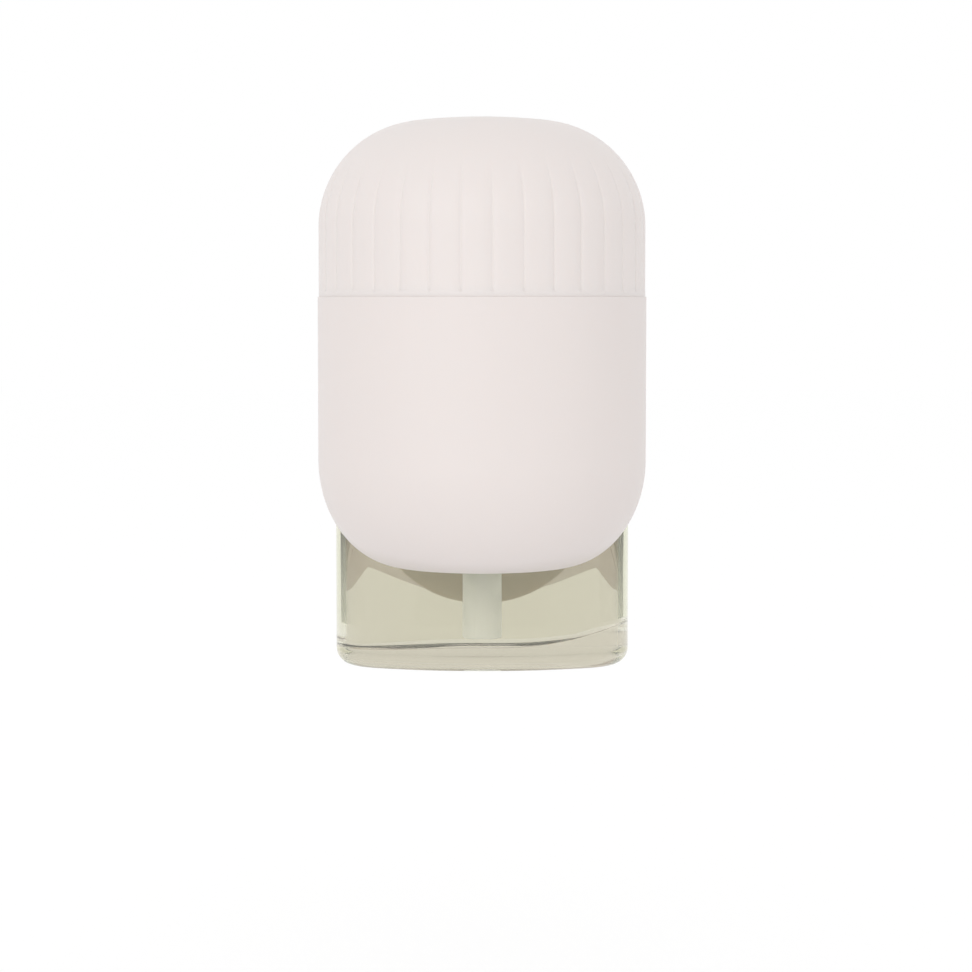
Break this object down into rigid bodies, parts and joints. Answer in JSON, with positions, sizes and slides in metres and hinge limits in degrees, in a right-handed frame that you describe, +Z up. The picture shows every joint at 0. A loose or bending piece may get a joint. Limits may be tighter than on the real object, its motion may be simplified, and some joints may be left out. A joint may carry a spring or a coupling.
{
  "type": "plug-in scented oil warmer",
  "caption": "Plug-in scented oil warmer: capsule housing with fluted cap, rotating two-blade plug and pull-out glass refill.",
  "frame": {"origin": "on the plug's axis, in the plane of the outlet's face that the plug seats on", "axes": "+Y along the plug blades into the wall, +Z up, +X to the viewer's right"},
  "size_m": [0.0584, 0.0827, 0.0997],
  "materials": {
    "shell_plastic": "satin off-white moulded plastic",
    "cap_plastic": "satin off-white moulded plastic with narrow flutes",
    "slider_plastic": "satin off-white moulded plastic",
    "turret_plastic": "fine matt off-white moulded plastic",
    "inner_plastic": "plain moulded plastic",
    "clip_plastic": "tough natural plastic",
    "heat_plastic": "heat resistant moulded plastic",
    "holder_plastic": "smooth white plastic",
    "heater_ceramic": null,
    "resistor_body": null,
    "fuse_body": null,
    "blade_brass": "rolled brass",
    "contact_brass": "stamped brass",
    "spring_steel": "rolled spring steel",
    "screw_steel": "zinc plated steel",
    "lead_black": "insulated lead",
    "lead_white": "insulated lead",
    "bottle_glass": "clear moulded glass",
    "scented_oil": null,
    "wick_fibre": "porous fibre rod"
  },
  "bodies": {
    "housing": {"front_shell": "shell_plastic", "rear_housing": "shell_plastic", "fluted_cap": "cap_plastic", "vent_grille": "cap_plastic", "plug_cover": "shell_plastic", "contact_ring_line": "contact_brass", "contact_ring_neutral": "contact_brass", "contact_carrier": "inner_plastic", "chassis": "inner_plastic", "neck_clip": "clip_plastic", "heater_carrier": "heat_plastic", "heater_block": "heater_ceramic", "heater_resistor_left": "resistor_body", "heater_resistor_right": "resistor_body", "thermal_fuse": "fuse_body", "heater_terminals": "contact_brass", "chimney": "heat_plastic", "lead_line": "lead_black", "lead_neutral": "lead_white", "detent_spring": "spring_steel", "housing_screws": "screw_steel", "chassis_screws": "screw_steel", "carrier_screws": "screw_steel"},
    "plug": {"plug_turret": "turret_plastic", "blade_line": "blade_brass", "blade_neutral": "blade_brass"},
    "refill": {"bottle_glass": "bottle_glass", "scented_oil": "scented_oil", "wick": "wick_fibre", "wick_holder": "holder_plastic", "bottle_collar": "holder_plastic"},
    "level_slider": {"vent_slider": "slider_plastic"}
  },
  "joints": [
    {"name": "plug_turn", "type": "hinge", "parent": "housing", "child": "plug", "pos_m": [0, 0, 0], "axis": [0, 1, 0], "range_deg": [-90, 90]},
    {"name": "refill_pull", "type": "slide", "parent": "housing", "child": "refill", "axis": [0, 0, -1], "range_m": [0, 0.052]},
    {"name": "vent_slide", "type": "slide", "parent": "housing", "child": "level_slider", "axis": [0, -1, 0], "range_m": [0, 0.007]}
  ]
}
